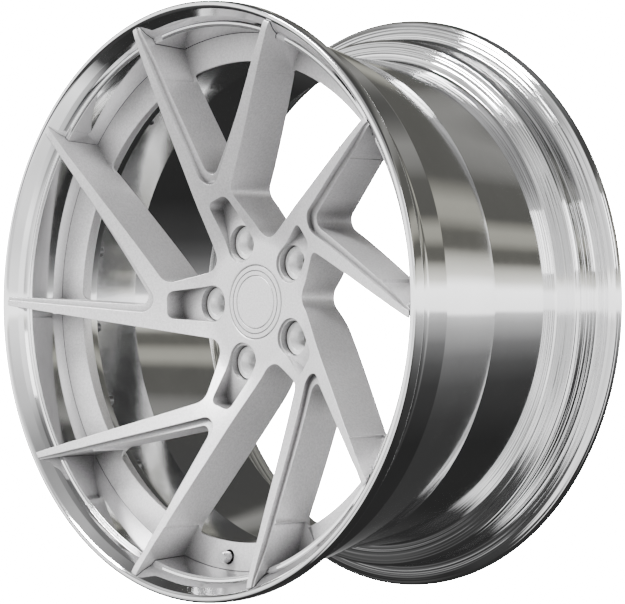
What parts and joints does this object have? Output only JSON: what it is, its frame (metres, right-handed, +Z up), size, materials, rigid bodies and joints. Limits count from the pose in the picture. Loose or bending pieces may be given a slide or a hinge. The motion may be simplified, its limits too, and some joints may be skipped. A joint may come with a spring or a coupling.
{
  "type": "two-piece forged wheel rim",
  "caption": "Forged race and road wheel rim: deep polished barrel with a bolted-in centre of twin swept spokes, lug seats, push-in centre cap and bent valve.",
  "frame": {"origin": "on the wheel's axis, at half the overall width", "axes": "+Y along the wheel's axis from the street face towards the car, +Z up, +X to the right as the street face is seen"},
  "size_m": [0.522, 0.2658, 0.522],
  "materials": {
    "polished_barrel": "mirror polished",
    "matte_silver_centre": "fine matte silver coat",
    "seat_steel": "turned",
    "bolt_steel": "dark plated",
    "cap_silver": "fine matte silver coat",
    "badge_silver": "satin",
    "spring_steel": "oiled wire",
    "valve_metal": "bright plated",
    "valve_brass": "turned",
    "seal_rubber": "moulded"
  },
  "bodies": {
    "wheel": {"assembly_bolt_01": "bolt_steel", "assembly_bolt_02": "bolt_steel", "assembly_bolt_03": "bolt_steel", "assembly_bolt_04": "bolt_steel", "assembly_bolt_05": "bolt_steel", "assembly_bolt_06": "bolt_steel", "assembly_bolt_07": "bolt_steel", "assembly_bolt_08": "bolt_steel", "assembly_bolt_09": "bolt_steel", "assembly_bolt_10": "bolt_steel", "assembly_bolt_11": "bolt_steel", "assembly_bolt_12": "bolt_steel", "assembly_bolt_13": "bolt_steel", "assembly_bolt_14": "bolt_steel", "assembly_bolt_15": "bolt_steel", "assembly_bolt_16": "bolt_steel", "assembly_bolt_17": "bolt_steel", "assembly_bolt_18": "bolt_steel", "assembly_bolt_19": "bolt_steel", "assembly_bolt_20": "bolt_steel", "centre_disc": "matte_silver_centre", "lug_seat_1": "seat_steel", "lug_seat_2": "seat_steel", "lug_seat_3": "seat_steel", "lug_seat_4": "seat_steel", "lug_seat_5": "seat_steel", "rim_barrel": "polished_barrel", "valve_core": "valve_brass", "valve_nut": "valve_metal", "valve_seal": "seal_rubber", "valve_stem": "valve_metal"},
    "cap": {"centre_cap": "cap_silver", "cap_badge_blank": "badge_silver", "cap_spring_ring": "spring_steel"},
    "dust_cap": {"valve_cap": "valve_metal"},
    "core_pin": {"valve_core_pin": "valve_brass"}
  },
  "joints": [
    {"name": "centre_cap_pull", "type": "slide", "parent": "wheel", "child": "cap", "axis": [0, -1, 0], "range_m": [0, 0.14]},
    {"name": "valve_cap_off", "type": "slide", "parent": "wheel", "child": "dust_cap", "axis": [0, -1, 0], "range_m": [0, 0.06]},
    {"name": "valve_core_pin_push", "type": "slide", "parent": "wheel", "child": "core_pin", "axis": [0, 1, 0], "range_m": [0, 0.0012], "stiffness_N_per_m": 400, "springref_m": -0.002}
  ]
}
